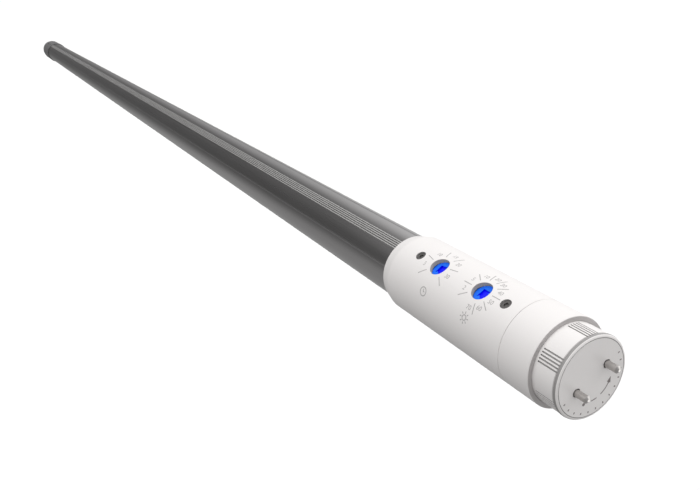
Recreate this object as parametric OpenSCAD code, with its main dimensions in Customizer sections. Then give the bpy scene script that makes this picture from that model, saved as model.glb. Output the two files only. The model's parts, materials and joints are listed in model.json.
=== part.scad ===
// Retrofit LED tube with bi-pin ends and a control head, millimetres.
// +X runs along the tube towards the control end, +Z is the side the dials face.
// The origin is the centre of the control end cap's face, between its two pins.

/* [Overall] */
// Length from cap face to cap face
lamp_len = 1199.4; // [600:0.1:1500]
// Outer radius of the extruded tube
tube_r = 13.24; // [11:0.02:16]
// Wall of the extruded tube
tube_wall = 1.2; // [0.9:0.1:1.5]

/* [Control head] */
// Wall of the head
head_wall = 1.7; // [1.5:0.1:2.4]
// Cap face to the front edge of the collar
collar_front = 9.8; // [9:0.1:12]
// Collar's front edge to the seam between collar and housing
collar_len = 13.4; // [12:0.1:17]
// Seam to the front screw
seam_to_screw = 6.6; // [5:0.1:9]
// Rear screw to the rear edge of the head
rear_margin = 16.2; // [12:0.1:24]
// Radial play between the head's bore and the tube
head_play = 0.26; // [0.2:0.01:0.4]
// Length of the taper at the head's rear edge
head_taper = 5.2; // [3:0.1:7]
// Wall left at the head's rear lip
rear_lip = 0.4; // [0.3:0.05:0.8]
// Distance between the two screws
screw_pitch = 47.2; // [44:0.1:60]
// Distance between the two dials
dial_pitch = 23.6; // [18:0.1:26]
// Radius of the screw holes
screw_hole_r = 1.95; // [1.6:0.05:2.4]
// Wall of the collar round the cap's barrel
collar_wall = 1.56; // [1.2:0.02:1.8]

/* [Dials] */
// Radius of the dial rotors
dial_r = 3.5; // [2.9:0.05:4.2]
// Gap round a rotor in its window
window_gap = 0.25; // [0.25:0.05:0.5]
// Depth of the rotor's face under the head's surface
dial_depth = 1.9; // [1.6:0.05:2.1]
// Thickness of the rotor's flange under the housing
dial_flange_t = 0.8; // [0.6:0.1:1.2]
// Depth of the arrow slot
slot_depth = 0.8; // [0.5:0.05:0.9]
// Radius of the rotor's shaft
dial_shaft_r = 1.2; // [0.9:0.05:1.4]
// Radial running clearance of the shaft
shaft_play = 0.05; // [0.02:0.01:0.08]
// Direction the hold time arrow points at rest, degrees from +X
hold_time_arrow = 140; // [50:1:220]
// Direction the daylight arrow points at rest, degrees from +X
daylight_arrow = 135; // [50:1:220]

/* [Pins] */
// Distance between the pin centres
pin_pitch = 12.7; // [10:0.1:15.3]
// Radius of a pin
pin_r = 1.175; // [0.98:0.005:1.41]
// Length of a pin in front of the cap face
pin_len = 4.6; // [4:0.1:7.6]
// Length of the cone at a pin's tip
pin_cone = 0.6; // [0.3:0.05:0.9]

/* [End caps] */
// How far a cap's flange stands out of its barrel
flange_lip = 0.12; // [0.1:0.02:0.4]
// Thickness of the flange
flange_thick = 1.1; // [0.8:0.05:1.4]
// Width of the rounded rim round the flat face
face_edge = 1.1; // [0.9:0.05:1.6]
// Thickness of the face plate
face_plate = 2.2; // [1.8:0.1:2.6]
// Wall of the barrel
cap_wall = 1.6; // [1.2:0.1:2]
// Radial running clearance of the turning caps
cap_play = 0.1; // [0.05:0.01:0.1]
// Groups of grip grooves round the barrel
grip_groups = 6; // [4:1:8]
// Grooves in one group
grip_count = 5; // [3:1:6]
// Angle between neighbouring grooves
grip_step = 4.3; // [3.8:0.1:5]
// Width of a groove
grip_w = 0.5; // [0.3:0.05:0.6]
// Depth of a groove
grip_depth = 0.4; // [0.2:0.05:0.6]

/* [Tube section] */
// Angle from the top down to the heat sink's edge
sink_angle = 107; // [100:1:112]
// Fine ribs along the top
rib_count = 5; // [3:2:7]
// Angle between neighbouring ribs
rib_step = 3.9; // [3.5:0.1:4.5]
// Radius of a rib's round crest
rib_r = 0.26; // [0.2:0.01:0.3]
// Height of the ribs above the tube
rib_high = 0.14; // [0.08:0.01:0.16]
// Angle from the top to the side bead
bead_angle = 43; // [36:1:50]
// Wall of the diffuser
diffuser_wall = 1; // [0.8:0.1:1.2]
// Thickness of the shelf across the heat sink
shelf_thick = 1.2; // [1:0.1:1.4]
// Height of the shelf's lower face
shelf_z = -2.5; // [-2.8:0.1:-2.3]

/* [Light engine] */
// Width of the light emitting diode board
led_board_w = 12; // [10:0.5:15]
// Thickness of that board
led_board_t = 1; // [0.8:0.1:1.2]
// Thickness of the adhesive tape
tape_t = 0.2; // [0.15:0.05:0.3]
// Number of light emitting diodes
led_count = 96; // [48:1:120]
// Width of one diode across the tube
led_w = 2.8; // [2:0.1:3.5]
// Length of one diode along the tube
led_l = 3.5; // [2.8:0.1:4]
// Height of one diode
led_h = 0.7; // [0.5:0.1:0.9]

/* [Supply] */
// Length of the supply's board
driver_len = 170; // [140:1:204]
// Room between the tray and the tube on each side
tray_room = 2.45; // [0.5:0.05:3]
// Thickness of circuit boards
board_t = 1.2; // [1:0.1:1.6]
// Wall of the insulating tray
tray_wall = 0.5; // [0.4:0.1:0.7]
// Radius of the mains wires
mains_wire_r = 0.65; // [0.5:0.05:0.8]
// Radius of the signal wires
signal_wire_r = 0.45; // [0.3:0.05:0.55]

/* [Far end] */
// Wall of the far housing
far_wall = 0.9; // [0.7:0.05:1.5]
// Cap face to the rear edge of the far housing
far_back = 66; // [60:1:80]

/* [Hidden] */
$fn = 96;
cut = 0.5;              // how far a cutting shape runs past a face
face_gap = 0.1;         // play between faces that meet loosely

// Tube
tube_inner_r = tube_r - tube_wall;
rib_crest_r = tube_r + rib_high;
sink_edge_z = tube_r * cos(sink_angle);
tongue_w = 0.85;        // diffuser's tongues inside the heat sink's edges
tongue_inset = 1.2;
tongue_y = tube_inner_r * sin(sink_angle) - tongue_inset;
diffuser_lap = 1.5;

// Head, measured back from the cap's face
head_bore_r = tube_r + head_play;
head_r = head_bore_r + head_wall;
seam_at = collar_front + collar_len;
front_screw_at = seam_at + seam_to_screw;
rear_screw_at = front_screw_at + screw_pitch;
head_back = rear_screw_at + rear_margin;
dial_mid = rear_screw_at - screw_pitch / 2;
hold_time_at = dial_mid + dial_pitch / 2;
daylight_at = dial_mid - dial_pitch / 2;
housing_front = seam_at + face_gap;
collar_edge = 0.2;      // bevel at the collar's front
seam_groove = 0.08;
spigot_back = front_screw_at + 5;
spigot_r = head_bore_r - 0.08;
spigot_wall = 1.3;

// Small screws
screw_seat = 0.4;       // wall left under a screw's head
screw_head_t = 0.75;
screw_head_r = screw_hole_r - 0.15;
screw_shank_r = 0.9;
screw_grip = 2.2;       // shank length under the head
screw_play = 0.15;      // radial play of a shank in its clearance hole
screw_bite = 0.05;      // radial play of a shank in its pilot hole
screw_recess_r = 0.95;
screw_recess = 0.5;
screw_floor = head_bore_r + screw_seat;

// Dials, trimmers and the control board under them
window_r = dial_r + window_gap;
dial_bevel = 0.25;
dial_top = head_r - dial_depth;
dial_flange_r = window_r + 0.45;
dial_flange_gap = 0.3;  // between the flange's edge and the head's bore
dial_flange_top = sqrt(pow(head_bore_r, 2) - pow(dial_flange_r, 2)) - dial_flange_gap;
dial_bottom = dial_flange_top - dial_flange_t;
trimmer_gap = 0.2;
trimmer_top = dial_bottom - trimmer_gap;
trimmer_w = 8.4;
trimmer_h = 2.9;
control_top = trimmer_top - trimmer_h;
control_bottom = control_top - board_t;
shaft_bottom = control_top + 0.4;
shaft_end_play = 0.2;
shaft_root = 0.2;       // how far the shaft is rooted in the rotor
control_back = hold_time_at + 6;
control_front = spigot_back + 0.5;
board_edge_gap = 0.5;   // between a board's long edge and the head's bore
control_half_w = sqrt(pow(head_bore_r, 2) - pow(control_top, 2)) - board_edge_gap;
ledge_in = 1.6;         // how far the board ledges reach in from the bore
ledge_t = 1;
ledge_root = 0.3;       // how far a ledge is rooted in the wall
chip_size = [9.9, 3.9, 1.6];
chip_y = 5;

// Sensor board in the lower half of the head
sensor_room = 6.7;      // from the head's bore up to the board's upper face
sensor_top = sensor_room - head_bore_r;
sensor_bottom = sensor_top - board_t;
sensor_half_w = sqrt(pow(head_bore_r, 2) - pow(sensor_bottom, 2)) - board_edge_gap;
motion_sensor_size = [18, 13, 3];
motion_sensor_at = dial_mid + 6;
light_sensor_size = [3, 3, 1.2];
lens_at = daylight_at + 8;
lens_r = 2.2;
lens_play = 0.05;
lens_dome_r = 6.2;
lens_gap = 0.3;         // between the light guide and the sensor
lens_flange = 0.8;      // how far the guide's flange stands out, and its thickness
header_at = control_front + 2.2;
header_pins = 4;
header_step = 2.54;
header_pin_r = 0.32;
header_w = 2.5;
header_bar = 2.4;

// Turning caps, measured back from the cap's face
near_barrel_r = head_r - collar_wall - cap_play;
web_front = collar_front + 6.2;         // the web that carries the journal
web_t = 2.4;
journal_step = web_front - 0.8;         // end of the full barrel
clip_t = 1;
clip_groove = 0.6;
clip_play = 0.05;
clip_reach = 0.7;       // how far the clip stands out of the journal
clip_clear = 0.22;      // between the clip and the spigot round it
clip_split = 4;
clip_at = web_front + web_t + 0.2;
journal_end = clip_at + clip_t + 1.8;
journal_r = spigot_r - spigot_wall - clip_clear - clip_reach;
journal_wall = 1.4;
journal_taper = 2;
rim_groove = 0.2;        // width and depth of the fine groove round the flat face
rim_drop = 0.8;         // how far the rounded rim falls back to the flange's side
rim_steps = 4;
neck_w = 0.2;           // groove in the barrel behind the flange
neck_t = 0.3;
grip_front = flange_thick + neck_w / 2;
grip_back = collar_front - 0.8;

// Pins
pin_seat_r = pin_r + 0.2;               // where the pin is pressed into the cap
pin_fit = 0.02;
pin_neck_r = pin_r - 0.2;               // thinner root in the well
pin_neck_end = 0.15;
pin_well_r = pin_r + 0.25;
pin_well = 0.6;
pin_tail_r = 0.9;
pin_tail = 8;           // cap face to the end of a pin's tail
pin_collar_r = 2;
pin_collar_t = 1;
pin_tip_r = pin_r * 0.36;
link_t = 0.8;
link_w = 2.4;

// Index pad on the collar
index_angle = 104;      // degrees from the top towards -Y
index_arc = 30;
index_back = seam_at - 5;
index_high = 0.18;
index_root = 0.4;

// Far end
far_front = collar_front;
far_bore_r = rib_crest_r + 0.12;
far_r = far_bore_r + far_wall;
far_barrel_r = far_bore_r - cap_play;
far_taper = 3;
far_lip = 0.3;
far_screw_at = [far_back - 12, far_back - 32];
far_screw_floor = far_bore_r + screw_seat;

// Where the tube ends
tube_near = rear_screw_at - 5;
tube_far = lamp_len - (web_front + web_t) - 7.6;

// Light engine, hung under the shelf
led_board_top = shelf_z - tape_t;
led_top = led_board_top - led_board_t;
led_margin = 4;
led_start = head_back + led_margin;
led_end = lamp_len - far_back - led_margin;

// Supply in the heat sink's cavity
shelf_top = shelf_z + shelf_thick;
driver_front = tube_near + 12;
driver_back = driver_front + driver_len;
board_lift = 1.5;       // room for solder joints under the supply's board
driver_z = shelf_top + tray_wall + board_lift;
parts_z = driver_z + board_t;
tray_top = parts_z + 0.2;
tray_rest = 0.8;        // how far the tray reaches under the board's edges
tray_half_w = sqrt(pow(tube_inner_r, 2) - pow(tray_top, 2)) - tray_room;
driver_half_w = tray_half_w - tray_wall - face_gap;
part_air = 1.05;        // between the tall parts and the tube over them

// Supply's parts, measured back from the front of its board
terminal_size = [7, 14];
terminal_edge = 0.8;    // least room between the terminals and the board's edge
terminal_y = 5;
control_plug_size = [5, 7, 3];
fuse_from = 10;
fuse_to = 18;
fuse_y = -4.5;
fuse_r = 1.8;
film_at = 16;
film_y = 3.2;
film_size = [13, 5];
bridge_at = 30;
bridge_size = [6.8, 4.6, 2.5];
choke_at = 42;
choke_r = 4.5;
choke_core_r = 3.4;
choke_flange = 1;
bulk_from = 50;
bulk_to = 70;
driver_chip_at = 80;
driver_chip_size = [5, 4, 1.6];
transformer_at = 98;
transformer_l = 18;
transformer_half_w = 5;
transformer_leg = 3;
transformer_bar = 1.5;
winding_gap = 0.2;
output_from = 116;
output_to = 132;
capacitor_air = 2.04;   // between the lying capacitors and the tube over them
capacitor_r = (tube_inner_r - capacitor_air - parts_z - face_gap) / 2;

// Wires
wire_gap = 0.3;
mains_high = 2.2;       // lead height over the supply's board where there is room
mains_z = min(parts_z + mains_high, control_bottom - chip_size[2] - mains_wire_r - wire_gap);
signal_z = control_bottom - 1.2;
signal_step = 1.6;
wire_swell = 0.04;      // how much thicker a wire is at a bend
bend_near = pin_tail + 14;
bend_far = bend_near + 10;

// Height over the supply's board for a tall part of a given half width
function room(half_w) = sqrt(pow(tube_inner_r, 2) - pow(half_w, 2)) - parts_z - part_air;

// Half the free width between the two ledges that lie under height z
function ledge_half_w(z) =
    sqrt(pow(head_bore_r, 2) - pow(max(abs(z), abs(z - ledge_t)), 2)) - ledge_in;

// ---------- helpers ----------

// Body turned about the X axis; points are [radius, distance along +X]
module turned(points) {
    rotate([0, 90, 0]) rotate_extrude() polygon(points);
}

// Section drawn in Y and Z, extruded along X from x0 to x1
module along_x(x0, x1) {
    translate([x0, 0, 0]) rotate([90, 0, 90]) linear_extrude(x1 - x0) children();
}

// Box given by its centre line in Y
module slab(x0, x1, half_w, z0, z1) {
    translate([x0, -half_w, z0]) cube([x1 - x0, 2 * half_w, z1 - z0]);
}

// Block centred on x and y that stands on z
module block(x, y, z, size) {
    translate([x - size[0] / 2, y - size[1] / 2, z]) cube(size);
}

// Round bar along +X
module rod(x0, x1, y, z, r) {
    translate([x0, y, z]) rotate([0, 90, 0]) cylinder(h = x1 - x0, r = r);
}

// Half plane below the height z, for cutting sections drawn in Y and Z
module below(z) {
    translate([-2 * tube_r, z - 4 * tube_r]) square([4 * tube_r, 4 * tube_r]);
}

// Wire through a list of points, with round corners
module wire(points, r) {
    for (i = [0 : len(points) - 2]) {
        run = points[i + 1] - points[i];
        flat = norm([run[0], run[1]]);
        translate(points[i])
            rotate([0, atan2(flat, run[2]), atan2(run[1], run[0])])
                cylinder(h = norm(run), r = r, $fn = 24);
    }
    for (i = [1 : 1 : len(points) - 2])
        translate(points[i]) sphere(r = r + wire_swell, $fn = 24);
}

// Puts what is drawn for the control end at the far end, facing the other way
module at_far_end() {
    translate([-lamp_len, 0, 0]) mirror([1, 0, 0]) children();
}

// ---------- tube ----------

module heat_sink_section() {
    difference() {
        circle(r = tube_r);
        circle(r = tube_inner_r);
        below(sink_edge_z);
    }
    for (i = [-(rib_count - 1) / 2 : (rib_count - 1) / 2])
        crest(i * rib_step);
    for (side = [-1, 1])
        crest(side * bead_angle);
    // the shelf runs into the wall at both ends
    intersection() {
        circle(r = tube_r - tube_wall / 2);
        translate([-tube_r, shelf_z]) square([2 * tube_r, shelf_thick]);
    }
}

// Round crest that stands out of the tube at an angle from the top
module crest(angle) {
    rotate(angle) translate([0, rib_crest_r - rib_r]) circle(r = rib_r);
}

// Pilot hole for a screw through the top of the tube
module tube_pilot(at) {
    translate([-at, 0, tube_inner_r - cut])
        cylinder(h = tube_wall + 2 * cut, r = screw_shank_r + screw_bite);
}

module heat_sink() {
    color("dimgray") difference() {
        along_x(-tube_far, -tube_near) heat_sink_section();
        tube_pilot(rear_screw_at);
        for (at = far_screw_at)
            tube_pilot(lamp_len - at);
    }
}

module diffuser() {
    tongue_z = sink_edge_z - diffuser_lap;
    tongue_h = shelf_z - face_gap - tongue_z;
    color("whitesmoke") along_x(-tube_far, -tube_near) {
        intersection() {
            difference() {
                circle(r = tube_r);
                circle(r = tube_r - diffuser_wall);
            }
            below(sink_edge_z);
        }
        for (side = [-1, 1])
            translate([side * (tongue_y + tongue_w / 2) - tongue_w / 2, tongue_z])
                square([tongue_w, tongue_h]);
    }
}

module thermal_tape() {
    color("gainsboro") slab(-led_end, -led_start, led_board_w / 2, led_board_top, shelf_z);
}

module led_board() {
    color("white") slab(-led_end, -led_start, led_board_w / 2, led_top, led_board_top);
}

module led_chips() {
    pitch = (led_end - led_start) / led_count;
    color("khaki") for (i = [0 : led_count - 1])
        block(-led_start - (i + 0.5) * pitch, 0, led_top - led_h, [led_l, led_w, led_h]);
}

// ---------- head ----------

// Cutter for a radial hole in the top of the head
module top_hole(at, r, z0) {
    translate([-at, 0, z0]) cylinder(h = head_r + cut - z0, r = r);
}

// Ledges along both sides of the bore, with their upper faces at height z
module ledges(z) {
    along_x(-control_back, -control_front) intersection() {
        difference() {
            circle(r = head_bore_r + ledge_root);
            square([2 * ledge_half_w(z), 4 * head_r], center = true);
        }
        translate([-head_r, z - ledge_t]) square([2 * head_r, ledge_t]);
    }
}

module head_housing() {
    color("white") difference() {
        union() {
            turned([
                [head_bore_r, -head_back], [head_bore_r + rear_lip, -head_back],
                [head_r, -head_back + head_taper], [head_r, -housing_front],
                [head_bore_r, -housing_front]
            ]);
            ledges(control_bottom);
            ledges(sensor_bottom);
        }
        for (at = [rear_screw_at, front_screw_at]) {
            top_hole(at, screw_hole_r, screw_floor);
            top_hole(at, screw_shank_r + screw_play, head_bore_r - 2 * cut);
        }
        for (at = [hold_time_at, daylight_at])
            top_hole(at, window_r, head_bore_r - 2 * cut);
        // mouth for the light lens
        translate([-lens_at, 0, -head_r - cut])
            cylinder(h = head_wall + 3 * cut, r = lens_r + lens_play);
    }
}

module head_collar() {
    bore_r = near_barrel_r + cap_play;
    spigot_inner_r = spigot_r - spigot_wall;
    color("white") difference() {
        union() {
            turned([
                [journal_r + cap_play, -web_front - web_t], [spigot_inner_r, -web_front - web_t],
                [spigot_inner_r, -spigot_back], [spigot_r, -spigot_back],
                [spigot_r, -seam_at], [head_r - seam_groove, -seam_at],
                [head_r, -seam_at + seam_groove], [head_r, -collar_front - collar_edge],
                [head_r - collar_edge, -collar_front], [bore_r, -collar_front],
                [bore_r, -web_front], [journal_r + cap_play, -web_front]
            ]);
            index_pad();
        }
        // hole for the front screw's shank
        translate([-front_screw_at, 0, spigot_inner_r - cut])
            cylinder(h = spigot_wall + 2 * cut, r = screw_shank_r + screw_bite);
    }
}

// Low raised pad on the collar that the cap's angle scale is read against
module index_pad() {
    half_w = head_r * sin(index_arc / 2);
    front = collar_front + collar_edge + 0.1;
    rotate([-index_angle, 0, 0]) intersection() {
        turned([
            [head_r - index_root, -index_back], [head_r + index_high, -index_back],
            [head_r + index_high, -front], [head_r - index_root, -front]
        ]);
        translate([-index_back - cut, -half_w, 0])
            cube([index_back, 2 * half_w, 2 * head_r]);
    }
}

// Screw with a recessed hexagon, its head's seat at height z
module small_screw(x, z) {
    translate([x, 0, z]) difference() {
        union() {
            cylinder(h = screw_head_t, r = screw_head_r);
            translate([0, 0, -screw_grip]) cylinder(h = screw_grip, r = screw_shank_r);
        }
        translate([0, 0, screw_head_t - screw_recess])
            cylinder(h = screw_recess + cut, r = screw_recess_r, $fn = 6);
    }
}

module head_screws() {
    color("gray") for (at = [rear_screw_at, front_screw_at])
        small_screw(-at, screw_floor);
}

// ---------- dials and boards in the head ----------

// Outline of the arrow slot, pointing along +X
module arrow_outline() {
    tip = dial_r * 0.7;
    barb = dial_r * 0.75;
    neck = -dial_r * 0.05;
    tail = dial_r * 0.6;
    half_w = dial_r * 0.4;
    polygon([
        [tip, 0], [neck, barb], [neck, half_w], [-tail, half_w],
        [-tail, -half_w], [neck, -half_w], [neck, -barb]
    ]);
}

module dial(at, arrow) {
    translate([-at, 0, 0]) difference() {
        union() {
            rotate_extrude() polygon([
                [0, dial_bottom], [dial_flange_r, dial_bottom],
                [dial_flange_r, dial_flange_top], [dial_r, dial_flange_top],
                [dial_r, dial_top - dial_bevel], [dial_r - dial_bevel, dial_top], [0, dial_top]
            ]);
            translate([0, 0, shaft_bottom])
                cylinder(h = dial_bottom + shaft_root - shaft_bottom, r = dial_shaft_r);
        }
        rotate(arrow) translate([0, 0, dial_top - slot_depth])
            linear_extrude(slot_depth + cut) arrow_outline();
    }
}

module hold_time_dial() {
    color("dodgerblue") dial(hold_time_at, hold_time_arrow);
}

module daylight_dial() {
    color("dodgerblue") dial(daylight_at, daylight_arrow);
}

module trimmer(at) {
    difference() {
        block(-at, 0, control_top, [trimmer_w, trimmer_w, trimmer_h]);
        translate([-at, 0, shaft_bottom - shaft_end_play])
            cylinder(h = trimmer_h + cut, r = dial_shaft_r + shaft_play);
    }
}

module hold_time_trimmer() {
    color("ivory") trimmer(hold_time_at);
}

module daylight_trimmer() {
    color("ivory") trimmer(daylight_at);
}

module control_board() {
    color("darkgreen")
        slab(-control_back, -control_front, control_half_w, control_bottom, control_top);
}

module controller_chip() {
    color("black") block(-dial_mid, chip_y, control_bottom - chip_size[2], chip_size);
}

module board_header() {
    bar_top = sensor_top + header_bar;
    color("gold") for (i = [0 : header_pins - 1])
        translate([-header_at, (i - (header_pins - 1) / 2) * header_step, bar_top])
            cylinder(h = control_bottom - bar_top, r = header_pin_r);
    color("black")
        block(-header_at, 0, sensor_top, [header_w, header_pins * header_step, header_bar]);
}

module sensor_board() {
    color("darkgreen")
        slab(-control_back, -control_front, sensor_half_w, sensor_bottom, sensor_top);
}

module motion_sensor() {
    color("silver") block(-motion_sensor_at, 0, sensor_top, motion_sensor_size);
}

module light_sensor() {
    color("black")
        block(-lens_at, 0, sensor_bottom - light_sensor_size[2], light_sensor_size);
}

// Domed light guide through the bottom of the head, with an inner flange
module light_lens() {
    guide_top = sensor_bottom - light_sensor_size[2] - lens_gap;
    flange_z = -head_bore_r + 0.6;
    color("lightcyan") translate([-lens_at, 0, 0]) difference() {
        union() {
            translate([0, 0, -head_r]) cylinder(h = guide_top + head_r, r = lens_r);
            translate([0, 0, flange_z]) cylinder(h = lens_flange, r = lens_r + lens_flange);
        }
        // rounds the outer end to a dome
        difference() {
            translate([0, 0, -head_r - cut]) cylinder(h = 2 * cut, r = lens_r + cut);
            translate([0, 0, -head_r + lens_dome_r]) sphere(r = lens_dome_r);
        }
    }
}

// ---------- supply ----------

module driver_tray() {
    inner = driver_half_w + face_gap;
    rest = driver_half_w - tray_rest;
    color("lightgray") along_x(-driver_back, -driver_front) difference() {
        translate([-tray_half_w, shelf_top]) square([2 * tray_half_w, tray_top - shelf_top]);
        translate([-inner, driver_z]) square([2 * inner, tray_top]);
        translate([-rest, shelf_top + tray_wall]) square([2 * rest, tray_top]);
    }
}

module driver_board() {
    color("green") slab(-driver_back, -driver_front, driver_half_w, driver_z, parts_z);
}

module lead_terminals() {
    terminal_l = terminal_size[0];
    terminal_w = min(terminal_size[1], 2 * (driver_half_w - terminal_edge));
    terminal_h = room(terminal_w / 2);
    plug_h = control_plug_size[2];
    color("ivory") {
        block(-driver_front - terminal_l / 2, 0, parts_z, [terminal_l, terminal_w, terminal_h]);
        block(-control_back + 3, 0, control_bottom - plug_h, control_plug_size);
    }
}

module line_fuse() {
    z = parts_z + fuse_r + face_gap;
    color("peru") rod(-driver_front - fuse_to, -driver_front - fuse_from, fuse_y, z, fuse_r);
}

module film_capacitor() {
    film_h = room(film_y + film_size[1] / 2);
    color("gold")
        block(-driver_front - film_at, film_y, parts_z, [film_size[0], film_size[1], film_h]);
}

module bridge_rectifier() {
    color("black") block(-driver_front - bridge_at, 0, parts_z, bridge_size);
}

module line_choke() {
    top = room(choke_r) - choke_flange;
    color("saddlebrown") translate([-driver_front - choke_at, 0, parts_z]) {
        cylinder(h = choke_flange, r = choke_r);
        translate([0, 0, choke_flange]) cylinder(h = top - choke_flange, r = choke_core_r);
        translate([0, 0, top]) cylinder(h = choke_flange, r = choke_r);
    }
}

// Electrolytic capacitor lying on the board
module lying_capacitor(from, to) {
    rod(-driver_front - to, -driver_front - from, 0, parts_z + capacitor_r + face_gap, capacitor_r);
}

module bulk_capacitor() {
    color("navy") lying_capacitor(bulk_from, bulk_to);
}

module driver_chip() {
    color("black") block(-driver_front - driver_chip_at, 0, parts_z, driver_chip_size);
}

module transformer_core() {
    h = room(transformer_half_w);
    leg_x = (transformer_l - transformer_leg) / 2;
    bar_y = transformer_half_w - transformer_bar / 2;
    color("dimgray") translate([-driver_front - transformer_at, 0, parts_z])
        for (side = [-1, 1]) {
            block(side * leg_x, 0, 0, [transformer_leg, 2 * transformer_half_w, h]);
            block(0, side * bar_y, 0, [2 * leg_x, transformer_bar, h]);
        }
}

module transformer_winding() {
    h = room(transformer_half_w);
    r = min(h / 2, transformer_half_w - transformer_bar) - winding_gap;
    half_l = transformer_l / 2 - transformer_leg - winding_gap;
    at = -driver_front - transformer_at;
    color("goldenrod") rod(at - half_l, at + half_l, 0, parts_z + h / 2, r);
}

module output_capacitor() {
    color("navy") lying_capacitor(output_from, output_to);
}

module mains_leads() {
    pin_y = pin_pitch / 2;
    color("saddlebrown") for (side = [-1, 1])
        wire([
            [-pin_tail - wire_gap, side * pin_y, 0], [-bend_near, side * pin_y, 0],
            [-bend_far, side * pin_y, mains_z], [-driver_front, side * terminal_y, mains_z]
        ], mains_wire_r);
}

module signal_leads() {
    start = -control_back + 0.5 - wire_gap;
    end = -driver_front + wire_gap;
    color("firebrick") for (i = [-1 : 1])
        wire([[start, i * signal_step, signal_z], [end, i * signal_step, mains_z]], signal_wire_r);
}

// ---------- turning caps ----------

module cap(barrel_r) {
    flange_r = barrel_r + flange_lip;
    rim_r = flange_r - face_edge + rim_groove;
    rim_w = flange_r - rim_r;
    groove_r = journal_r - clip_groove;
    inner_r = journal_r - journal_wall;
    groove_back = clip_at + clip_t + clip_play;
    groove_front = clip_at - clip_play;
    difference() {
        turned([
            [0, -face_plate], [barrel_r - cap_wall, -face_plate],
            [inner_r, -journal_step + journal_taper], [inner_r, -journal_end],
            [journal_r, -journal_end], [journal_r, -groove_back],
            [groove_r, -groove_back], [groove_r, -groove_front],
            [journal_r, -groove_front], [journal_r, -journal_step],
            [barrel_r, -journal_step], [barrel_r, -flange_thick - neck_w],
            [barrel_r - neck_t, -flange_thick - neck_w], [barrel_r - neck_t, -flange_thick],
            [flange_r, -flange_thick],
            for (i = [0 : rim_steps])
                [rim_r + rim_w * cos(i * 90 / rim_steps), -rim_drop * (1 - sin(i * 90 / rim_steps))],
            [rim_r, -rim_groove], [rim_r - rim_groove, -rim_groove], [rim_r - rim_groove, 0],
            [0, 0]
        ]);
        for (group = [0 : grip_groups - 1])
            rotate([(group + 0.5) * 360 / grip_groups, 0, 0])
                for (i = [0 : grip_count - 1])
                    grip_groove(barrel_r, (i - (grip_count - 1) / 2) * grip_step);
        for (side = [-1, 1]) {
            rod(-face_plate - cut, cut, side * pin_pitch / 2, 0, pin_seat_r + pin_fit);
            rod(-pin_well, cut, side * pin_pitch / 2, 0, pin_well_r);
        }
    }
}

// Cutter for one grip groove along the barrel
module grip_groove(barrel_r, angle) {
    rotate([angle, 0, 0])
        translate([-grip_back, -grip_w / 2, barrel_r - grip_depth])
            cube([grip_back - grip_front, grip_w, grip_depth + 2 * flange_lip]);
}

module pins() {
    collar_front_x = -face_plate - pin_fit;
    collar_back_x = collar_front_x - pin_collar_t;
    for (side = [-1, 1])
        translate([0, side * pin_pitch / 2, 0]) turned([
            [0, -pin_tail], [pin_tail_r, -pin_tail], [pin_tail_r, collar_back_x],
            [pin_collar_r, collar_back_x], [pin_collar_r, collar_front_x],
            [pin_seat_r, collar_front_x], [pin_seat_r, -pin_well],
            [pin_neck_r, -pin_well], [pin_neck_r, -pin_neck_end],
            [pin_r, -pin_neck_end], [pin_r, pin_len - pin_cone],
            [pin_tip_r, pin_len], [0, pin_len]
        ]);
}

// Split ring in the journal's groove, behind the web
module clip() {
    ring_r = journal_r - clip_groove + clip_play;
    difference() {
        turned([
            [ring_r, -clip_at - clip_t], [journal_r + clip_reach, -clip_at - clip_t],
            [journal_r + clip_reach, -clip_at], [ring_r, -clip_at]
        ]);
        translate([-clip_at - 2 * clip_t, -clip_split / 2, -2 * journal_r])
            cube([4 * clip_t, clip_split, 2 * journal_r]);
    }
}

module near_cap() {
    color("white") cap(near_barrel_r);
}

module near_pins() {
    color("silver") pins();
}

module near_clip() {
    color("silver") clip();
}

module far_cap() {
    color("dimgray") at_far_end() cap(far_barrel_r);
}

module far_pins() {
    color("silver") at_far_end() pins();
}

module far_pin_link() {
    color("gold") at_far_end()
        block(-pin_tail - link_t / 2, 0, -link_w / 2, [link_t, pin_pitch + link_w, link_w]);
}

module far_clip() {
    color("silver") at_far_end() clip();
}

module far_housing() {
    color("dimgray") difference() {
        at_far_end() turned([
            [far_bore_r, -far_back], [far_bore_r + far_lip, -far_back],
            [far_r, -far_back + far_taper], [far_r, -far_front - far_lip],
            [far_r - far_lip, -far_front], [far_bore_r, -far_front],
            [far_bore_r, -web_front], [journal_r + cap_play, -web_front],
            [journal_r + cap_play, -web_front - web_t], [far_bore_r, -web_front - web_t]
        ]);
        for (at = far_screw_at)
            translate([at - lamp_len, 0, 0]) {
                translate([0, 0, far_bore_r - cut])
                    cylinder(h = far_wall + 2 * cut, r = screw_shank_r + screw_play);
                translate([0, 0, far_screw_floor])
                    cylinder(h = far_wall + cut, r = screw_head_r + screw_play);
            }
    }
}

module far_screws() {
    color("gray") for (at = far_screw_at)
        small_screw(at - lamp_len, far_screw_floor);
}

heat_sink();
diffuser();
thermal_tape();
led_board();
led_chips();
head_housing();
head_collar();
head_screws();
hold_time_dial();
daylight_dial();
hold_time_trimmer();
daylight_trimmer();
control_board();
controller_chip();
board_header();
sensor_board();
motion_sensor();
light_sensor();
light_lens();
driver_tray();
driver_board();
bulk_capacitor();
output_capacitor();
transformer_core();
transformer_winding();
line_choke();
film_capacitor();
bridge_rectifier();
line_fuse();
driver_chip();
lead_terminals();
mains_leads();
signal_leads();
near_cap();
near_pins();
near_clip();
far_housing();
far_screws();
far_cap();
far_pins();
far_pin_link();
far_clip();
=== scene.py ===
import json
from math import asin, cos, degrees, pi, radians, sin, sqrt

import bmesh
import bpy
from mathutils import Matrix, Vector
from mathutils.geometry import tessellate_polygon


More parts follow.
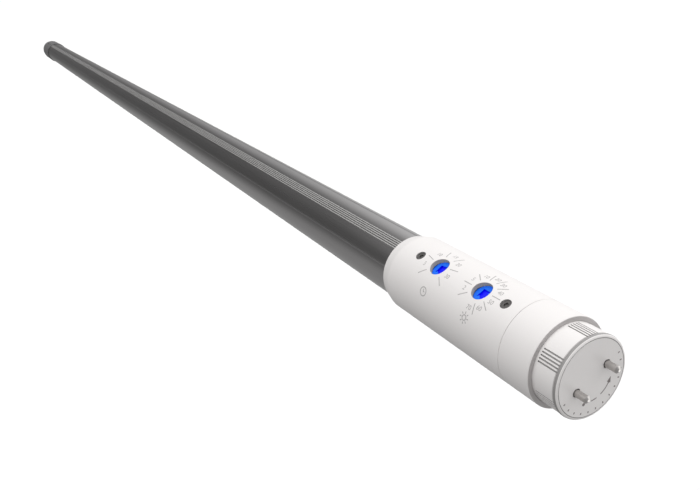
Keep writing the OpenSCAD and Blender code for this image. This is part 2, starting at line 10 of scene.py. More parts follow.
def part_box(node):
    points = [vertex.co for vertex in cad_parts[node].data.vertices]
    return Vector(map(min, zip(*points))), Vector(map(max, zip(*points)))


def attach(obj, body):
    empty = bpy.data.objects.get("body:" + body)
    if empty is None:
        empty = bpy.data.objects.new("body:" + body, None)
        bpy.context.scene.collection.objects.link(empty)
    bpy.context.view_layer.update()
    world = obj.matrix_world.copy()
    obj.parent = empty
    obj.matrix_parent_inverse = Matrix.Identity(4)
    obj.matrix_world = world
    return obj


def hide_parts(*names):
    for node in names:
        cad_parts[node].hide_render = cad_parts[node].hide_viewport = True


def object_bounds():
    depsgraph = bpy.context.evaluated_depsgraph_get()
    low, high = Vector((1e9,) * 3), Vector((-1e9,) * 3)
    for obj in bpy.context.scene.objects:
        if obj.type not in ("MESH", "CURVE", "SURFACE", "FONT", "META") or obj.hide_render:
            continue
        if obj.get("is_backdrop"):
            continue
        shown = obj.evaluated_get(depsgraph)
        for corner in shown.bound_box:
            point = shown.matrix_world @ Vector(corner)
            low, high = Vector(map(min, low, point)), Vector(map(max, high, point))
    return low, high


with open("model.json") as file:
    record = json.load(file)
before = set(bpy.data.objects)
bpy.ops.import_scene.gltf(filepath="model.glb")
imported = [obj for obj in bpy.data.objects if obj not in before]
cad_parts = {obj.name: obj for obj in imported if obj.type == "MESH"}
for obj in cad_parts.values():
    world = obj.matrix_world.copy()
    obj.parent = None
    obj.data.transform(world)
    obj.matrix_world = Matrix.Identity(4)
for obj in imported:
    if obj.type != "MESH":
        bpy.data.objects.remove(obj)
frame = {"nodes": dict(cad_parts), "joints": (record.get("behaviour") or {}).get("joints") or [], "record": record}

MM = 0.001
cad_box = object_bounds()
nodes = frame["nodes"]

# ---------------------------------------------------------------- places from the frame

FLANGE_LIP = 0.12 * MM      # how far the cap's flange stands out from its barrel
FACE_EDGE = 1.1 * MM        # rounded rim round the cap's flat face
SCREW_HEAD_R = 1.8 * MM
SCREW_HOLE_R = 1.95 * MM
WINDOW_R = 3.75 * MM
PIN_Y = 6.35 * MM

head_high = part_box("head_housing")[1]
HEAD_R = head_high.z
cap_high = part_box("near_cap")[1]
FACE_X = cap_high.x
CAP_R = cap_high.z
BARREL_R = CAP_R - FLANGE_LIP
FACE_R = CAP_R - FACE_EDGE
COLLAR_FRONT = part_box("head_collar")[1].x
sink_low, sink_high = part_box("heat_sink")
TUBE_R = sink_high.y
DIAL_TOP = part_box("hold_time_dial")[1].z
screw_low, screw_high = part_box("head_screws")
FRONT_SCREW_X = screw_high.x - SCREW_HEAD_R
REAR_SCREW_X = screw_low.x + SCREW_HEAD_R
joints = {j["name"]: j for j in frame["joints"]}
HOLD_TIME_X = joints["hold_time_turn"]["pos_m"][0]
DAYLIGHT_X = joints["daylight_turn"]["pos_m"][0]

# ---------------------------------------------------------------- node helpers


class Graph:
    """Short calls that add and link nodes in a node tree."""

    def __init__(self, tree):
        self.tree = tree

    def node(self, kind, links=None, **values):
        made = self.tree.nodes.new(kind)
        for key, value in values.items():
            setattr(made, key, value)
        for key, source in (links or {}).items():
            self.tree.links.new(source, made.inputs[key])
        return made

    def step(self, source, start, end, low=0.0, high=1.0):
        """Goes smoothly from low to high while the source goes from start to end."""
        made = self.node("ShaderNodeMapRange", {"Value": source}, interpolation_type="SMOOTHSTEP")
        for key, value in zip(("From Min", "From Max", "To Min", "To Max"), (start, end, low, high)):
            made.inputs[key].default_value = value
        return made.outputs["Result"]

    def math(self, operation, first, second):
        """Two numbers combined; the second may be a plain value."""
        made = self.node("ShaderNodeMath", {0: first}, operation=operation)
        if isinstance(second, (int, float)):
            made.inputs[1].default_value = second
        else:
            self.tree.links.new(second, made.inputs[1])
        return made.outputs["Value"]

    def blend(self, factor, first, second):
        """Mix of two colours; either may be a plain one."""
        made = self.node("ShaderNodeMix", {"Factor": factor}, data_type="RGBA")
        for socket, colour in ((made.inputs[6], first), (made.inputs[7], second)):
            if isinstance(colour, tuple):
                socket.default_value = (*colour, 1)
            else:
                self.tree.links.new(colour, socket)
        return made.outputs[2]


class Shader(Graph):
    """A material with its Principled shader and the patterns that the finishes share."""

    def __init__(self, name, **values):
        self.material = bpy.data.materials.new(name)
        self.material.use_nodes = True
        super().__init__(self.material.node_tree)
        self.surface = self.tree.nodes["Principled BSDF"]
        for socket, value in values.items():
            self.surface.inputs[socket.replace("_", " ")].default_value = value

    def place(self, scale=(1, 1, 1), centre=(0, 0, 0)):
        """Object coordinates from a centre, stretched by a scale for each axis."""
        at = self.node("ShaderNodeTexCoord").outputs["Object"]
        made = self.node("ShaderNodeMapping", {"Vector": at})
        made.inputs["Scale"].default_value = scale
        made.inputs["Location"].default_value = [-c * s for c, s in zip(centre, scale)]
        return made.outputs["Vector"]

    def axis(self, name):
        return self.node("ShaderNodeSeparateXYZ", {"Vector": self.place()}).outputs[name]

    def reach(self, scale, centre=(0, 0, 0)):
        """Distance from a centre, counting only the axes whose scale is 1."""
        made = self.node("ShaderNodeVectorMath", {0: self.place(scale, centre)}, operation="LENGTH")
        return made.outputs["Value"]

    def within(self, source, low, high, soft):
        """1 where the source lies between low and high, 0 elsewhere."""
        rise = self.step(source, low - soft, low + soft)
        fall = self.step(source, high - soft, high + soft, 1.0, 0.0)
        return self.math("MULTIPLY", rise, fall)

    def noise(self, scale, stretch=(1, 1, 1), detail=3.0, roughness=0.5):
        made = self.node("ShaderNodeTexNoise", {"Vector": self.place(stretch)})
        made.inputs["Scale"].default_value = scale
        made.inputs["Detail"].default_value = detail
        made.inputs["Roughness"].default_value = roughness
        return made.outputs["Fac"]

    def ramp(self, source, stops):
        """Colour ramp; stops are (position, colour)."""
        made = self.node("ShaderNodeValToRGB", {"Fac": source})
        for element, (position, colour) in zip(made.color_ramp.elements, stops):
            element.position = position
            element.color = (*colour, 1)
        return made.outputs["Color"]

    def spread(self, source, low, high):
        """Maps 0..1 to low..high."""
        made = self.node("ShaderNodeMapRange", {"Value": source})
        made.inputs["To Min"].default_value = low
        made.inputs["To Max"].default_value = high
        return made.outputs["Result"]

    def to(self, socket, source):
        self.tree.links.new(source, self.surface.inputs[socket])

    def bump(self, source, distance, strength=1.0, under=None):
        made = self.node("ShaderNodeBump", {"Height": source})
        made.inputs["Distance"].default_value = distance
        made.inputs["Strength"].default_value = strength
        if under is not None:
            self.tree.links.new(under, made.inputs["Normal"])
        self.to("Normal", made.outputs["Normal"])
        return made.outputs["Normal"]


def shade(colour, share):
    """A colour made lighter or darker by a share."""
    return tuple(min(1.0, c * share) for c in colour)


# ---------------------------------------------------------------- materials


def moulded(name, colour, roughness, grain=2.5e-6, tone=0.03, recesses=None, **values):
    """Moulded plastic: fine spark-eroded grain, faint flow marks and slightly uneven gloss; a recesses function,
    where given, paints shade into the colour.
    """
    m = Shader(name, **values)
    cloud = m.noise(55, stretch=(0.4, 1, 1), detail=2)
    tint = m.ramp(cloud, [(0.3, shade(colour, 1 - tone)), (0.7, shade(colour, 1 + tone))])
    m.to("Base Color", recesses(m, tint) if recesses else tint)
    fine = m.noise(5200, detail=2, roughness=0.6)
    m.to("Roughness", m.spread(m.noise(900, detail=2), roughness * 0.88, roughness * 1.12))
    m.bump(fine, grain)
    return m.material


def ring_mask(m, start, end, inner, outer, soft=0.03 * MM):
    """1 inside a ring round the tube's axis, between two places along it and two radii."""
    along = m.within(m.axis("X"), start, end, soft)
    return m.math("MULTIPLY", along, m.within(m.reach((0, 1, 1)), inner, outer, soft))


def hole_mask(m, x, radius):
    """1 inside an upright hole in the top of the head."""
    inside = m.step(m.reach((1, 1, 0), (x, 0, 0)), radius, radius + 0.06 * MM, 1.0, 0.0)
    return m.math("MULTIPLY", inside, m.step(m.axis("Z"), 0, MM))


def pin_mask(m, y):
    """1 inside the well round a pin's root."""
    near = m.step(m.reach((0, 1, 1), (0, y, 0)), 1.4 * MM, 1.45 * MM, 1.0, 0.0)
    return m.math("MULTIPLY", near, m.step(m.axis("X"), FACE_X - 3 * MM, FACE_X - 2.5 * MM))


# Shadow tones of the recesses in the white parts
COLLAR_SHADE = (0.47, 0.45, 0.445)
GRIP_SHADE = (0.36, 0.35, 0.345)
BARREL_SHADE = (0.5, 0.48, 0.475)
FLANGE_SHADE = (0.31, 0.3, 0.295)
RIM_SHADE = (0.22, 0.21, 0.205)
WINDOW_SHADE = (0.64, 0.56, 0.36)
SCREW_SHADE = (0.42, 0.41, 0.405)
PIN_SHADE = (0.1, 0.095, 0.09)


def round_painted_shade(m):
    """Masks and painted shadow tones of the recesses that run round the tube's axis: at the collar's front, in the
    grip grooves, on the barrel behind the flange, on the flange's side and at the edge of the face's rim.
    """
    collar_ends = (COLLAR_FRONT - 0.1 * MM, COLLAR_FRONT + 0.1 * MM)
    collar = ring_mask(m, *collar_ends, BARREL_R + 0.06 * MM, HEAD_R + MM)
    grip_ends = (COLLAR_FRONT + 0.5 * MM, FACE_X - 1.15 * MM)
    grip = ring_mask(m, *grip_ends, BARREL_R - MM, BARREL_R - 0.1 * MM)
    barrel = ring_mask(m, FACE_X - 1.65 * MM, FACE_X - 1.25 * MM, BARREL_R - 0.05 * MM, CAP_R)
    flange = ring_mask(m, FACE_X - 1.2 * MM, FACE_X - 0.4 * MM, CAP_R - 0.15 * MM, HEAD_R)
    rim = ring_mask(m, FACE_X - 0.3 * MM, FACE_X - 0.05 * MM, FACE_R - 0.02 * MM, FACE_R + 0.22 * MM)
    return [(collar, COLLAR_SHADE), (grip, GRIP_SHADE), (barrel, BARREL_SHADE),
            (flange, FLANGE_SHADE), (rim, RIM_SHADE)]


def white_painted_shade(m, tint):
    """Painted shadow tones in the joints, grooves, dial windows, screw holes and pin wells of the white parts."""
    shades = round_painted_shade(m)
    shades += [(hole_mask(m, x, WINDOW_R), WINDOW_SHADE) for x in (HOLD_TIME_X, DAYLIGHT_X)]
    shades += [(hole_mask(m, x, SCREW_HOLE_R), SCREW_SHADE) for x in (FRONT_SCREW_X, REAR_SCREW_X)]
    shades += [(pin_mask(m, y), PIN_SHADE) for y in (-PIN_Y, PIN_Y)]
    for mask, shadow in shades:
        tint = m.blend(mask, tint, shadow)
    return tint


def blue_painted_shade(m, tint):
    """Painted shade: the rotor's blue is painted deeper below its face, in the arrow slot and down its sides and
    rim.
    """
    slot = m.step(m.axis("Z"), DIAL_TOP - 0.3 * MM, DIAL_TOP - 0.12 * MM, 1.0, 0.0)
    return m.blend(slot, tint, (0.0, 0.0, 0.95))


def anodised():
    """Extruded and anodised aluminium: long die lines, a faint mottle, painted shade over the middle ribs and a
    painted highlight on their crests.
    """
    m = Shader("anodised_aluminium")
    lines = m.noise(2600, stretch=(0.004, 1, 1), detail=4, roughness=0.65)
    mottle = m.noise(140, stretch=(0.12, 1, 1), detail=3)
    grey = (0.42, 0.41, 0.41)
    tint = m.ramp(mottle, [(0.25, shade(grey, 0.95)), (0.75, shade(grey, 1.05))])
    radius = m.reach((0, 1, 1))
    middle = m.within(m.axis("Y"), -2.15 * MM, 2.15 * MM, 0.05 * MM)
    ribs = m.math("MULTIPLY", middle, m.step(m.axis("Z"), 0, MM))
    crests = m.math("MULTIPLY", ribs, m.step(radius, TUBE_R, TUBE_R + 0.03 * MM))
    # Painted shade over the middle ribs, then a painted highlight, less metallic, on their crests.
    tint = m.blend(ribs, tint, (0.22, 0.215, 0.215))
    tint = m.blend(crests, tint, (0.62, 0.61, 0.6))
    m.to("Base Color", tint)
    m.to("Metallic", m.spread(crests, 1.0, 0.5))
    m.to("Roughness", m.spread(lines, 0.24, 0.34))
    grain = m.bump(m.noise(6500, detail=2), 1.2e-6)
    m.bump(lines, 3e-6, under=grain)
    return m.material


def metal(name, colour, roughness, stretch=(1, 1, 1)):
    """Plated or turned metal with fine tool marks."""
    m = Shader(name, Metallic=1.0)
    marks = m.noise(3000, stretch=stretch, detail=4, roughness=0.6)
    m.to("Base Color", m.ramp(m.noise(400), [(0.3, shade(colour, 0.9)), (0.7, shade(colour, 1.08))]))
    m.to("Roughness", m.spread(marks, roughness * 0.8, roughness * 1.25))
    m.bump(marks, 2e-6)
    return m.material


def clear(name):
    """Clear moulded plastic with faint haze."""
    m = Shader(name, Transmission_Weight=0.9, IOR=1.49)
    m.to("Base Color", m.ramp(m.noise(200), [(0.3, (0.86, 0.9, 0.92)), (0.7, (0.95, 0.98, 1.0))]))
    m.to("Roughness", m.spread(m.noise(800), 0.05, 0.16))
    return m.material


def printed(name, colour):
    """Pad-printed ink, a little uneven in cover."""
    m = Shader(name, Specular_IOR_Level=0.35)
    cover = m.noise(1500, detail=4)
    m.to("Base Color", m.ramp(cover, [(0.3, shade(colour, 0.85)), (0.7, shade(colour, 1.15))]))
    m.to("Roughness", m.spread(m.noise(2500), 0.5, 0.7))
    return m.material


def board(name, colour):
    """Circuit board: solder mask over faint tracks."""
    m = Shader(name, Coat_Weight=0.4, Coat_Roughness=0.2)
    tracks = m.node("ShaderNodeTexBrick", {"Vector": m.place()})
    tracks.inputs["Scale"].default_value = 260
    tracks.inputs["Mortar Size"].default_value = 0.04
    m.to("Base Color", m.ramp(tracks.outputs["Fac"], [(0.2, colour), (0.8, shade(colour, 1.5))]))
    m.to("Roughness", m.spread(m.noise(600), 0.28, 0.42))
    m.bump(tracks.outputs["Fac"], 1e-5)
    return m.material


WHITE = (0.83, 0.805, 0.795)
finishes = {
    "anodised_aluminium": anodised(),
    "diffuser_plastic": moulded("diffuser_plastic", (0.85, 0.86, 0.85), 0.42, Subsurface_Weight=0.15),
    # White plastic with painted shadow tones in its recesses.
    "white_plastic": moulded("white_plastic", WHITE, 0.46, tone=0.012, recesses=white_painted_shade),
    "dark_plastic": moulded("dark_plastic", (0.15, 0.148, 0.15), 0.42, tone=0.08),
    # Blue plastic painted deeper blue, as shade, below the rotor's face.
    "blue_plastic": moulded("blue_plastic", (0.0, 0.16, 1.0), 0.35, tone=0.06, recesses=blue_painted_shade),
    "pin_metal": metal("pin_metal", (0.54, 0.52, 0.505), 0.28, stretch=(1, 0.02, 0.02)),
    "screw_steel": metal("screw_steel", (0.19, 0.182, 0.178), 0.7),
    "clear_plastic": clear("clear_plastic"),
    "light_chips": moulded("light_chips", (0.9, 0.78, 0.3), 0.3),
    "white_board": board("white_board", (0.84, 0.84, 0.82)),
    "green_board": board("green_board", (0.02, 0.18, 0.07)),
    "pale_plastic": moulded("pale_plastic", (0.78, 0.75, 0.66), 0.5),
    "black_parts": moulded("black_parts", (0.028, 0.028, 0.03), 0.45, tone=0.15),
    "shield_metal": metal("shield_metal", (0.66, 0.66, 0.65), 0.3),
    "capacitor_sleeve": moulded("capacitor_sleeve", (0.02, 0.03, 0.14), 0.3),
    "ferrite": moulded("ferrite", (0.08, 0.08, 0.085), 0.6, tone=0.15),
    "copper": metal("copper", (0.72, 0.32, 0.14), 0.3, stretch=(1, 0.05, 0.05)),
    "yellow_film": moulded("yellow_film", (0.74, 0.5, 0.05), 0.35),
    "fuse_body": moulded("fuse_body", (0.45, 0.3, 0.17), 0.6),
    "wire_jacket": moulded("wire_jacket", (0.28, 0.09, 0.05), 0.45),
    "scale_print": printed("scale_print", (0.42, 0.41, 0.405)),
    "cap_print": printed("cap_print", (0.25, 0.225, 0.22)),
}


def dress_cad_nodes():
    """Gives every CAD node the procedural finish of its material slot."""
    for part in frame["record"]["subparts"]:
        mesh = nodes[part["node"]].data
        mesh.materials.clear()
        mesh.materials.append(finishes[part["material_slot"]])


# ---------------------------------------------------------------- tube

TUBE_WALL = 1.2 * MM
DIFFUSER_WALL = 1.0 * MM
SINK_ANGLE = 107
RIB_R = 0.34 * MM
SHELF = (-2.5 * MM, -1.3 * MM)
TONGUE = (10.31 * MM, 11.16 * MM)
TONGUE_Z = (-5.37 * MM, -2.6 * MM)
CRESTS = (-43, -7.8, -3.9, 0, 3.9, 7.8, 43)


def arc(radius, start, end, step=2.0):
    """Points in Y and Z on an arc, angles in degrees from the top towards +Y."""
    count = max(2, round(abs(end - start) / step) + 1)
    turns = [radians(start + (end - start) * i / (count - 1)) for i in range(count)]
    return [(radius * sin(t), radius * cos(t)) for t in turns]


def crest(angle):
    """Points over one rounded rib, from its lower to its higher angle."""
    centre = sink_high.z - RIB_R
    points = []
    for turn in range(-50, 51, 10):
        across = RIB_R * sin(radians(turn))
        up = centre + RIB_R * cos(radians(turn))
        lean = radians(angle)
        points.append((across * cos(lean) + up * sin(lean), up * cos(lean) - across * sin(lean)))
    return points


def sink_outline():
    """Outer line of the heat sink with its ribs, then back along the inner wall and the shelf."""
    inner = TUBE_R - TUBE_WALL
    margin = 1.2
    points, at = [], -SINK_ANGLE
    for angle in CRESTS:
        points += arc(TUBE_R, at, angle - margin)
        points += crest(angle)
        at = angle + margin
    points += arc(TUBE_R, at, SINK_ANGLE)
    edge_z = TUBE_R * cos(radians(SINK_ANGLE))
    low = degrees(asin(sqrt(inner ** 2 - edge_z ** 2) / inner))
    shelf = degrees(asin(sqrt(inner ** 2 - SHELF[0] ** 2) / inner))
    points += arc(inner, 180 - low, 180 - shelf)
    points += arc(inner, shelf - 180, low - 180)
    return points


def sink_cavity():
    inner = TUBE_R - TUBE_WALL
    half = 180 - degrees(asin(sqrt(inner ** 2 - SHELF[1] ** 2) / inner))
    return arc(inner, -half, half)


def diffuser_outline():
    """Lower arc of the tube with the two tongues that sit inside the heat sink."""
    inner = TUBE_R - DIFFUSER_WALL
    edge_z = TUBE_R * cos(radians(SINK_ANGLE))
    low = degrees(asin(sqrt(inner ** 2 - edge_z ** 2) / inner))
    outside = degrees(asin(TONGUE[1] / inner))
    inside = degrees(asin(sqrt(inner ** 2 - TONGUE_Z[0] ** 2) / inner))
    points = arc(TUBE_R, SINK_ANGLE, 360 - SINK_ANGLE)
    points += arc(inner, 180 + low, 180 + outside)
    points += [(-TONGUE[1], TONGUE_Z[1]), (-TONGUE[0], TONGUE_Z[1]), (-TONGUE[0], TONGUE_Z[0])]
    points += arc(inner, 180 + inside, 180 - inside)
    points += [(TONGUE[0], TONGUE_Z[0]), (TONGUE[0], TONGUE_Z[1]), (TONGUE[1], TONGUE_Z[1])]
    points += arc(inner, 180 - outside, 180 - low)
    return points


def extruded(name, loops, finish):
    """Closed bar along the tube from a section's outer line and its holes."""
    verts, faces = [], []
    total = sum(len(loop) for loop in loops)
    for x in (sink_low.x, sink_high.x):
        verts += [(x, y, z) for loop in loops for y, z in loop]
    start = 0
    for loop in loops:
        for i in range(len(loop)):
            a, b = start + i, start + (i + 1) % len(loop)
            faces.append((a, b, b + total, a + total))
        start += len(loop)
    flat = [[Vector((y, z, 0)) for y, z in loop] for loop in loops]
    for a, b, c in tessellate_polygon(flat):
        faces.append((a, b, c))
        faces.append((c + total, b + total, a + total))
    made = piece(name, verts, faces, "tube", finish)
    tidy_normals(made.data)
    return made


def tidy_normals(mesh):
    """Faces point outwards; shallow edges are smooth and steep ones sharp."""
    work = bmesh.new()
    work.from_mesh(mesh)
    bmesh.ops.remove_doubles(work, verts=work.verts, dist=1e-6)
    bmesh.ops.recalc_face_normals(work, faces=work.faces)
    work.to_mesh(mesh)
    work.free()
    mesh.shade_smooth()
    mesh.set_sharp_from_angle(angle=radians(30))


def tube():
    sink = extruded("heat_sink_profile", [sink_outline(), sink_cavity()], "anodised_aluminium")
    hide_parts("heat_sink")
    diffuser = extruded("diffuser_profile", [diffuser_outline()], "diffuser_plastic")
    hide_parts("diffuser")


# ---------------------------------------------------------------- dial rims


def dial_rim(name, centre_x, body):
    """Rounded rim round a rotor's face, just clear of its window."""
    outer = WINDOW_R - 0.07 * MM
    inner = WINDOW_R - 0.55 * MM
    low = DIAL_TOP - 0.6 * MM
    high = DIAL_TOP + 0.03 * MM
    soft = 0.06 * MM
    profile = [(inner, low), (outer, low), (outer, high - soft), (outer - soft, high),
               (inner + soft, high), (inner, high - soft)]
    count = 72
    verts = []
    for i in range(count):
        turn = 2 * pi * i / count
        verts += [(centre_x + r * cos(turn), r * sin(turn), z) for r, z in profile]
    size = len(profile)
    faces = []
    for i in range(count):
        here, there = i * size, (i + 1) % count * size
        for k in range(size):
            after = (k + 1) % size
            faces.append((here + k, there + k, there + after, here + after))
    made = piece(name, verts, faces, body, "blue_plastic")
    tidy_normals(made.data)


# ---------------------------------------------------------------- printed scales

PRINT_UP = 0.03 * MM      # how far print stands on the surface
PRINT_DOWN = 0.05 * MM    # how far its underside is sunk in


def stroke_quads(points, width):
    """Corners of the strip of a given width along a line of points, as left and right points."""
    left, right = [], []
    for i, point in enumerate(points):
        before = points[max(i - 1, 0)]
        after = points[min(i + 1, len(points) - 1)]
        way = Vector((after[0] - before[0], after[1] - before[1])).normalized()
        side = Vector((-way.y, way.x)) * width / 2
        left.append((point[0] + side.x, point[1] + side.y))
        right.append((point[0] - side.x, point[1] - side.y))
    return left, right


def line_points(start, end, count=5):
    return [tuple(s + (e - s) * i / (count - 1) for s, e in zip(start, end)) for i in range(count)]


def arc_points(centre, radius, start, end, count=24):
    """Points on an arc, angles in degrees from the first axis."""
    turns = [radians(start + (end - start) * i / (count - 1)) for i in range(count)]
    return [(centre[0] + radius * cos(t), centre[1] + radius * sin(t)) for t in turns]


def polar(radius, angle):
    return (radius * cos(radians(angle)), radius * sin(radians(angle)))


def add_strip(verts, faces, left, right, lift):
    """Adds a closed thin solid over a strip; lift(point, height) puts a flat point on the surface."""
    base = len(verts)
    count = len(left)
    for height in (PRINT_UP, -PRINT_DOWN):
        for a, b in zip(left, right):
            verts.append(lift(a, height))
            verts.append(lift(b, height))
    under = base + 2 * count
    for i in range(count - 1):
        k = base + 2 * i
        m = under + 2 * i
        faces.append((k, k + 1, k + 3, k + 2))
        faces.append((m, m + 2, m + 3, m + 1))
        faces.append((k, k + 2, m + 2, m))
        faces.append((k + 1, m + 1, m + 3, k + 3))
    last = base + 2 * count - 2
    last_under = under + 2 * count - 2
    faces.append((base, under, under + 1, base + 1))
    faces.append((last, last + 1, last_under + 1, last_under))


def glyph_mesh(text, size):
    """Flat mesh of a number, centred, with its top towards +Y, as vertex and face lists."""
    curve = bpy.data.curves.new("glyph", "FONT")
    curve.body = text
    curve.size = size
    curve.align_x = "CENTER"
    curve.align_y = "CENTER"
    curve.extrude = 0.5
    curve.resolution_u = 4
    holder = bpy.data.objects.new("glyph", curve)
    bpy.context.scene.collection.objects.link(holder)
    bpy.context.view_layer.update()
    mesh = holder.evaluated_get(bpy.context.evaluated_depsgraph_get()).to_mesh()
    verts = [tuple(v.co) for v in mesh.vertices]
    faces = [tuple(p.vertices) for p in mesh.polygons]
    holder.to_mesh_clear()
    bpy.data.objects.remove(holder)
    bpy.data.curves.remove(curve)
    return verts, faces


def add_number(verts, faces, text, size, centre, lift):
    """Adds a printed number with its middle at centre."""
    glyph_verts, glyph_faces = glyph_mesh(text, size)
    base = len(verts)
    for x, y, z in glyph_verts:
        height = PRINT_UP if z > 0 else -PRINT_DOWN
        verts.append(lift((centre[0] + x, centre[1] + y), height))
    faces.extend(tuple(base + i for i in face) for face in glyph_faces)


def piece(name, verts, faces, body, finish):
    mesh = bpy.data.meshes.new(name)
    mesh.from_pydata(verts, [], faces)
    mesh.validate()
    mesh.update()
    mesh.materials.append(finishes[finish])
    made = bpy.data.objects.new(name, mesh)
    bpy.context.scene.collection.objects.link(made)
    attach(made, body)
    return made


def on_head(centre_x):
    """Puts a flat point, in metres round a dial's centre, on the head's cylinder."""
    def lift(point, height):
        angle = point[1] / HEAD_R
        radius = HEAD_R + height
        return (centre_x + point[0], radius * sin(angle), radius * cos(angle))
    return lift


def on_face(point, height):
    """Puts a flat point on the cap's face; its axes are Y and Z."""
    return (FACE_X + height, point[0], point[1])


# Dial scales: ticks run clockwise from the lower end of the scale.
TICK_IN = 5.2 * MM
TICK_OUT = 9.0 * MM
TICK_WIDTH = 0.3 * MM
NUMBER_AT = 7.1 * MM
NUMBER_SIZE = 2.3 * MM
SIGN_DOWN = 10.8 * MM     # from a dial's centre down to the sign below it
SIGN_WIDTH = 0.32 * MM


def dial_scale(name, centre_x, start, step, ticks, numbers):
    """Radial ticks with a number halfway after each of them."""
    verts, faces = [], []
    lift = on_head(centre_x)
    for i in range(ticks):
        turn = start - i * step
        ends = line_points(polar(TICK_IN, turn), polar(TICK_OUT, turn))
        add_strip(verts, faces, *stroke_quads(ends, TICK_WIDTH), lift)
    for i, number in enumerate(numbers):
        centre = polar(NUMBER_AT, start - (i + 0.5) * step)
        add_number(verts, faces, number, NUMBER_SIZE, centre, lift)
    return piece(name, verts, faces, "tube", "scale_print")


def clock_sign(name, centre_x):
    """A small clock under the hold time dial."""
    verts, faces = [], []
    lift = on_head(centre_x)
    centre = (0, -SIGN_DOWN)
    up = (centre[0], centre[1] + 1.0 * MM)
    across = (centre[0] + 0.75 * MM, centre[1])
    ring = arc_points(centre, 1.6 * MM, 0, 359.9, 40)
    for line in (ring, line_points(centre, up), line_points(centre, across)):
        add_strip(verts, faces, *stroke_quads(line, SIGN_WIDTH), lift)
    return piece(name, verts, faces, "tube", "scale_print")


def sun_sign(name, centre_x):
    """A small sun under the daylight dial."""
    verts, faces = [], []
    lift = on_head(centre_x)
    centre = Vector((0, -SIGN_DOWN))
    ring = arc_points(centre, 0.9 * MM, 0, 359.9, 32)
    add_strip(verts, faces, *stroke_quads(ring, SIGN_WIDTH), lift)
    for i in range(8):
        near = centre + Vector(polar(1.35 * MM, i * 45))
        far = centre + Vector(polar(2.1 * MM, i * 45))
        add_strip(verts, faces, *stroke_quads(line_points(near, far), SIGN_WIDTH), lift)
    return piece(name, verts, faces, "tube", "scale_print")


def cap_direction(angle, radius):
    """A point on the cap's face, at an angle in degrees from the top towards -Y, as Y and Z."""
    return (-radius * sin(radians(angle)), radius * cos(radians(angle)))


def cap_scale():
    """Angle marks every 15 degrees round the lower half of the face."""
    verts, faces = [], []
    for turn in range(90, 271, 15):
        ends = line_points(cap_direction(turn, 11.1 * MM), cap_direction(turn, 11.75 * MM))
        add_strip(verts, faces, *stroke_quads(ends, 0.42 * MM), on_face)
    return piece("cap_scale", verts, faces, "near_cap", "cap_print")


def cap_arrow():
    """The turning arrow inside the angle marks, with its starting dot."""
    verts, faces = [], []
    radius = 7.9 * MM
    for start, end in ((155, 171), (183, 215)):
        bow = [cap_direction(start + (end - start) * i / 16, radius) for i in range(17)]
        add_strip(verts, faces, *stroke_quads(bow, 0.34 * MM), on_face)
    tip = cap_direction(228, radius)
    inner = cap_direction(214, radius - 0.8 * MM)
    outer = cap_direction(214, radius + 0.8 * MM)
    middle = cap_direction(214, radius)
    add_strip(verts, faces, [inner, tip], [middle, tip], on_face)
    add_strip(verts, faces, [middle, tip], [outer, tip], on_face)
    dot = cap_direction(135, 8.4 * MM)
    ring = arc_points(dot, 0.28 * MM, 0, 360, 24)
    add_strip(verts, faces, *stroke_quads(ring, 0.5 * MM), on_face)
    return piece("cap_arrow", verts, faces, "near_cap", "cap_print")


# ---------------------------------------------------------------- stage


def floor():
    """Pale floor that is lit by the studio but throws no light on the object."""
    mesh = bpy.data.meshes.new("floor")
    half = 40.0
    z = -0.6
    corners = [(-half, -half, z), (half, -half, z), (half, half, z), (-half, half, z)]
    mesh.from_pydata(corners, [], [(0, 1, 2, 3)])
    m = Shader("floor_paint", Roughness=0.9)
    m.to("Base Color", m.ramp(m.noise(3), [(0.3, (0.95, 0.95, 0.95)), (0.7, (0.97, 0.97, 0.97))]))
    mesh.materials.append(m.material)
    made = bpy.data.objects.new("floor", mesh)
    made.visible_diffuse = False
    made.visible_glossy = False
    bpy.context.scene.collection.objects.link(made)
    made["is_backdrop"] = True


def soft_light(name, at, target, size, power):
    data = bpy.data.lights.new(name, "AREA")
    data.shape = "RECTANGLE"
    data.size, data.size_y = size
    data.energy = power
    made = bpy.data.objects.new(name, data)
    made.location = at
    made.rotation_euler = (Vector(target) - Vector(at)).to_track_quat("-Z", "Y").to_euler()
    made.visible_camera = False
    bpy.context.scene.collection.objects.link(made)


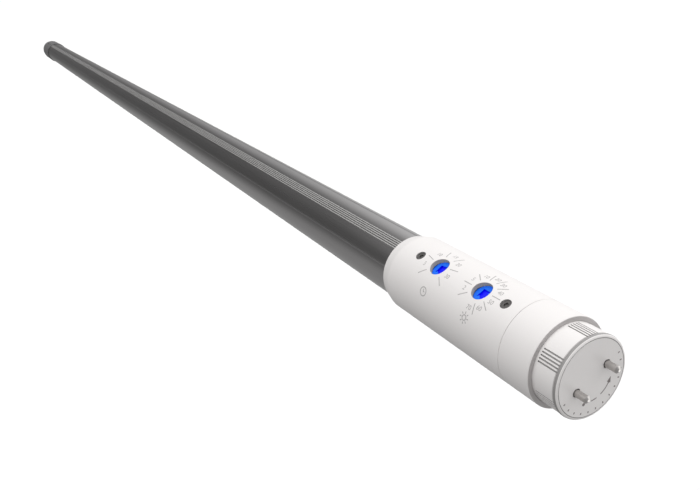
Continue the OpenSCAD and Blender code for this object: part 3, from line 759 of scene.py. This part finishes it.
def studio():
    """Light tent: bright overhead, dimmer sides, darkest above the tube's far end."""
    world = bpy.data.worlds.new("studio")
    world.use_nodes = True
    sky = Graph(world.node_tree)
    way = sky.node("ShaderNodeTexCoord").outputs["Generated"]
    parts = sky.node("ShaderNodeSeparateXYZ", {"Vector": way}).outputs
    far = sky.node("ShaderNodeVectorMath", {0: way}, operation="DOT_PRODUCT")
    far.inputs[1].default_value = Vector((-0.86, -0.12, 0.5)).normalized()
    side = sky.step(parts["Y"], -0.8, 0.8, 0.37, 0.53)
    shaded = sky.math("MULTIPLY", side, sky.step(far.outputs["Value"], 0.71, 0.94, 1.0, 0.25))
    strength = sky.math("ADD", shaded, sky.step(parts["Z"], 0.62, 0.95, 0.0, 1.6))
    strength = sky.math("ADD", strength, sky.step(parts["Y"], 0.45, 0.95, 0.0, 1.1))
    background = world.node_tree.nodes["Background"]
    world.node_tree.links.new(strength, background.inputs["Strength"])
    background.inputs["Color"].default_value = (1, 1, 1, 1)
    bpy.context.scene.world = world


def lights():
    studio()
    soft_light("pin_light", (0.28, 0.16, -0.38), (0, 0, 0), (0.12, 0.12), 0.1)


CAMERA_AT = (0.123795, -0.068993, 0.166564)
CAMERA_TURN = (53.627, 27.197, 57.766)


def camera():
    data = bpy.data.cameras.new("camera")
    data.sensor_width = 36
    data.lens = 36.6
    data.clip_start = 0.01
    data.dof.use_dof = False
    made = bpy.data.objects.new("camera", data)
    made.location = CAMERA_AT
    made.rotation_euler = [radians(turn) for turn in CAMERA_TURN]
    bpy.context.scene.collection.objects.link(made)
    bpy.context.scene.camera = made


# ---------------------------------------------------------------- build

dress_cad_nodes()
tube()
dial_rim("hold_time_rim", HOLD_TIME_X, "hold_time_dial")
dial_rim("daylight_rim", DAYLIGHT_X, "daylight_dial")
dial_scale("hold_time_scale", HOLD_TIME_X, 222, 53, 6, ["5", "10", "15", "20", "30"])
dial_scale("daylight_scale", DAYLIGHT_X, 217, 36, 9,
           ["2", "5", "10", "20", "30", "40", "50", "60", "70"])
clock_sign("clock_sign", HOLD_TIME_X)
sun_sign("sun_sign", DAYLIGHT_X)
cap_scale()
cap_arrow()
floor()
lights()
camera()
bpy.context.scene.view_settings.view_transform = "Standard"

boxes = {"cad": cad_box, "visual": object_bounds()}
{k: [list(map(float, corner)) for corner in v] for k, v in boxes.items()}
